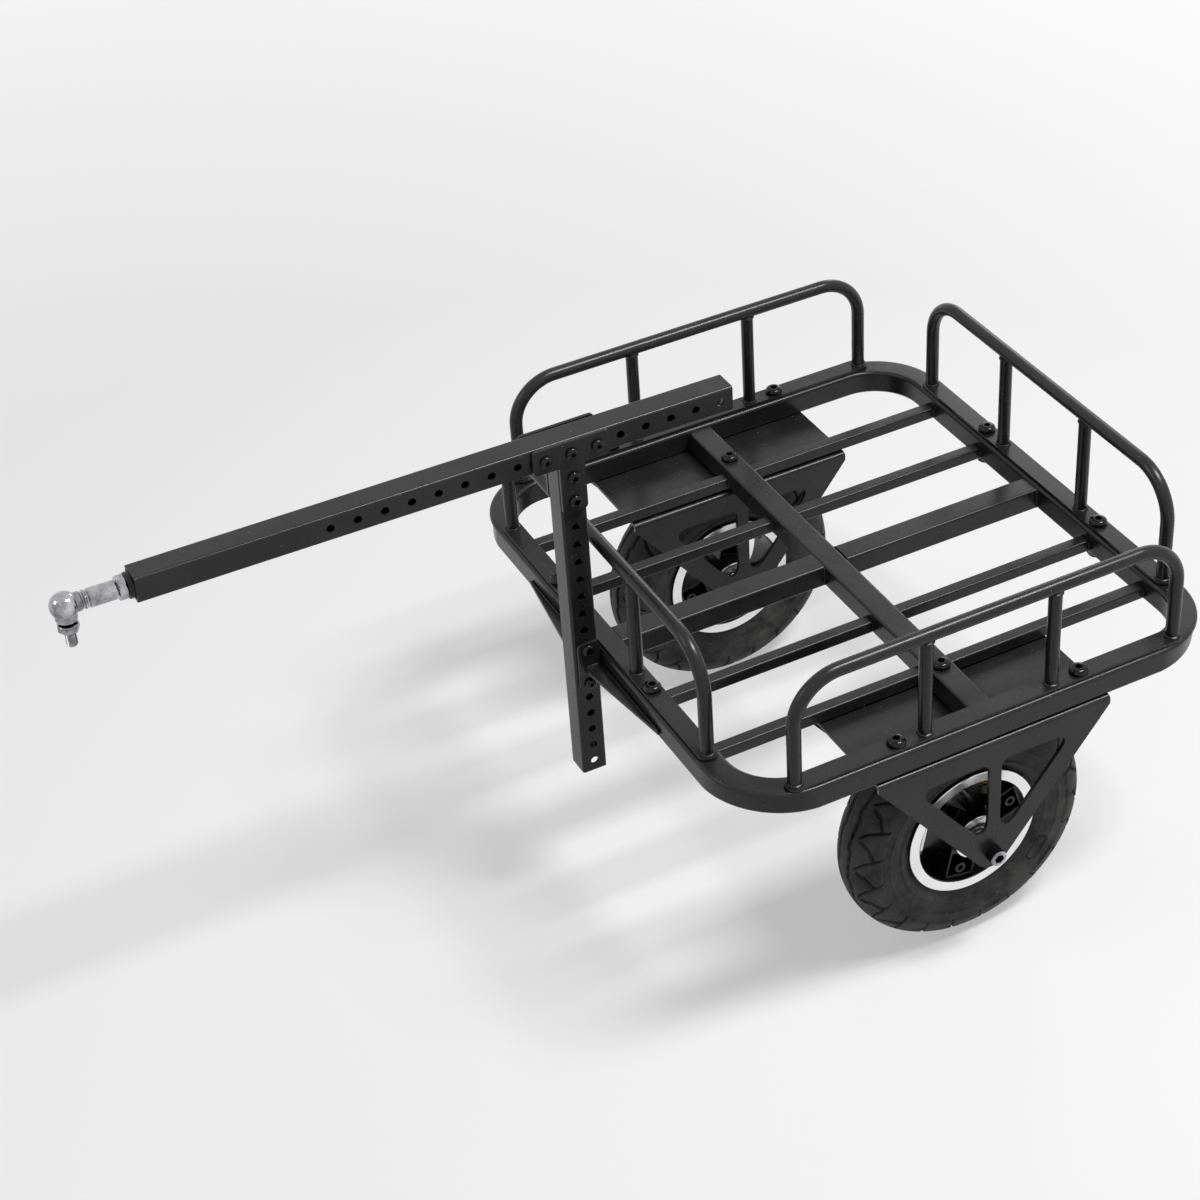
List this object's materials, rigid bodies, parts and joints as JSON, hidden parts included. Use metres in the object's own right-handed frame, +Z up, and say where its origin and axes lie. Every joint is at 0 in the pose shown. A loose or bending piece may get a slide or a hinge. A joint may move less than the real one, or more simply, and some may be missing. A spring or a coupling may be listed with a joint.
{
  "type": "scooter cargo trailer",
  "caption": "Two-wheeled cargo trailer: bent square-tube deck with cross bars and side rails, sheet brackets over two solid-rimmed wheels, drilled post, drawbar and ball-joint hitch.",
  "frame": {"origin": "bottom centre of the trailer's box, on the ground that the tyres stand on, deck level", "axes": "+Z up; -Y forward along the drawbar to the hitch, +Y to the rear; +X to the vehicle's left"},
  "size_m": [0.4766, 0.7924, 0.4191],
  "materials": {
    "powder_coat": "satin black powder coat",
    "black_steel": "glossy black oxide",
    "rubber": "matte rubber",
    "rim_black": "painted black",
    "bearing_steel": "bright ground steel",
    "zinc": "bright zinc plate"
  },
  "bodies": {
    "trailer": {"deck_frame": "powder_coat", "cross_beam": "powder_coat", "front_slat_left_outer": "powder_coat", "front_slat_left_inner": "powder_coat", "front_slat_middle": "powder_coat", "front_slat_right_inner": "powder_coat", "front_slat_right_outer": "powder_coat", "rear_slat_left_outer": "powder_coat", "rear_slat_left_inner": "powder_coat", "rear_slat_middle": "powder_coat", "rear_slat_right_inner": "powder_coat", "rear_slat_right_outer": "powder_coat", "left_rail": "powder_coat", "right_rail": "powder_coat", "front_rail": "powder_coat", "rear_rail": "powder_coat", "left_rail_bolt_front": "black_steel", "left_rail_bolt_rear": "black_steel", "right_rail_bolt_front": "black_steel", "right_rail_bolt_rear": "black_steel", "front_rail_bolt_left": "black_steel", "front_rail_bolt_right": "black_steel", "rear_rail_bolt_left": "black_steel", "rear_rail_bolt_right": "black_steel", "left_beam_bolt": "black_steel", "right_beam_bolt": "black_steel", "left_wheel_bracket": "powder_coat", "right_wheel_bracket": "powder_coat", "left_axle_sleeve": "bearing_steel", "right_axle_sleeve": "bearing_steel", "left_axle_bolt": "black_steel", "right_axle_bolt": "black_steel", "post": "powder_coat", "left_post_foot": "powder_coat", "right_post_foot": "powder_coat", "post_bolt_lower": "black_steel", "post_bolt_upper": "black_steel", "left_tee_plate": "powder_coat", "right_tee_plate": "powder_coat", "tee_bolt_front": "black_steel", "tee_bolt_middle": "black_steel", "tee_bolt_rear": "black_steel", "tee_bolt_upper": "black_steel", "tee_bolt_lower": "black_steel", "drawbar": "powder_coat", "drawbar_plug": "black_steel", "jam_nut": "zinc", "hitch_socket": "zinc"},
    "left_wheel": {"left_tyre": "rubber", "left_rim": "rim_black", "left_outer_bearing": "bearing_steel", "left_inner_bearing": "bearing_steel"},
    "right_wheel": {"right_tyre": "rubber", "right_rim": "rim_black", "right_outer_bearing": "bearing_steel", "right_inner_bearing": "bearing_steel"},
    "joint_ring": {"hitch_collar": "bearing_steel"},
    "joint_ball": {"hitch_ball": "bearing_steel"},
    "joint_stud": {"hitch_stud": "zinc"}
  },
  "joints": [
    {"name": "left_wheel_spin", "type": "hinge", "parent": "trailer", "child": "left_wheel", "pos_m": [0.1835, 0.19224, 0.1], "axis": [1, 0, 0], "continuous": true},
    {"name": "right_wheel_spin", "type": "hinge", "parent": "trailer", "child": "right_wheel", "pos_m": [-0.1835, 0.19224, 0.1], "axis": [1, 0, 0], "continuous": true},
    {"name": "hitch_swivel", "type": "hinge", "parent": "trailer", "child": "joint_ring", "pos_m": [0, -0.38624, 0.40911], "axis": [0, 0, 1], "continuous": true},
    {"name": "hitch_pitch", "type": "hinge", "parent": "joint_ring", "child": "joint_ball", "pos_m": [0, -0.38624, 0.40911], "axis": [1, 0, 0], "range_deg": [-12, 12]},
    {"name": "hitch_roll", "type": "hinge", "parent": "joint_ball", "child": "joint_stud", "pos_m": [0, -0.38624, 0.40911], "axis": [0, 1, 0], "range_deg": [-12, 12]}
  ]
}
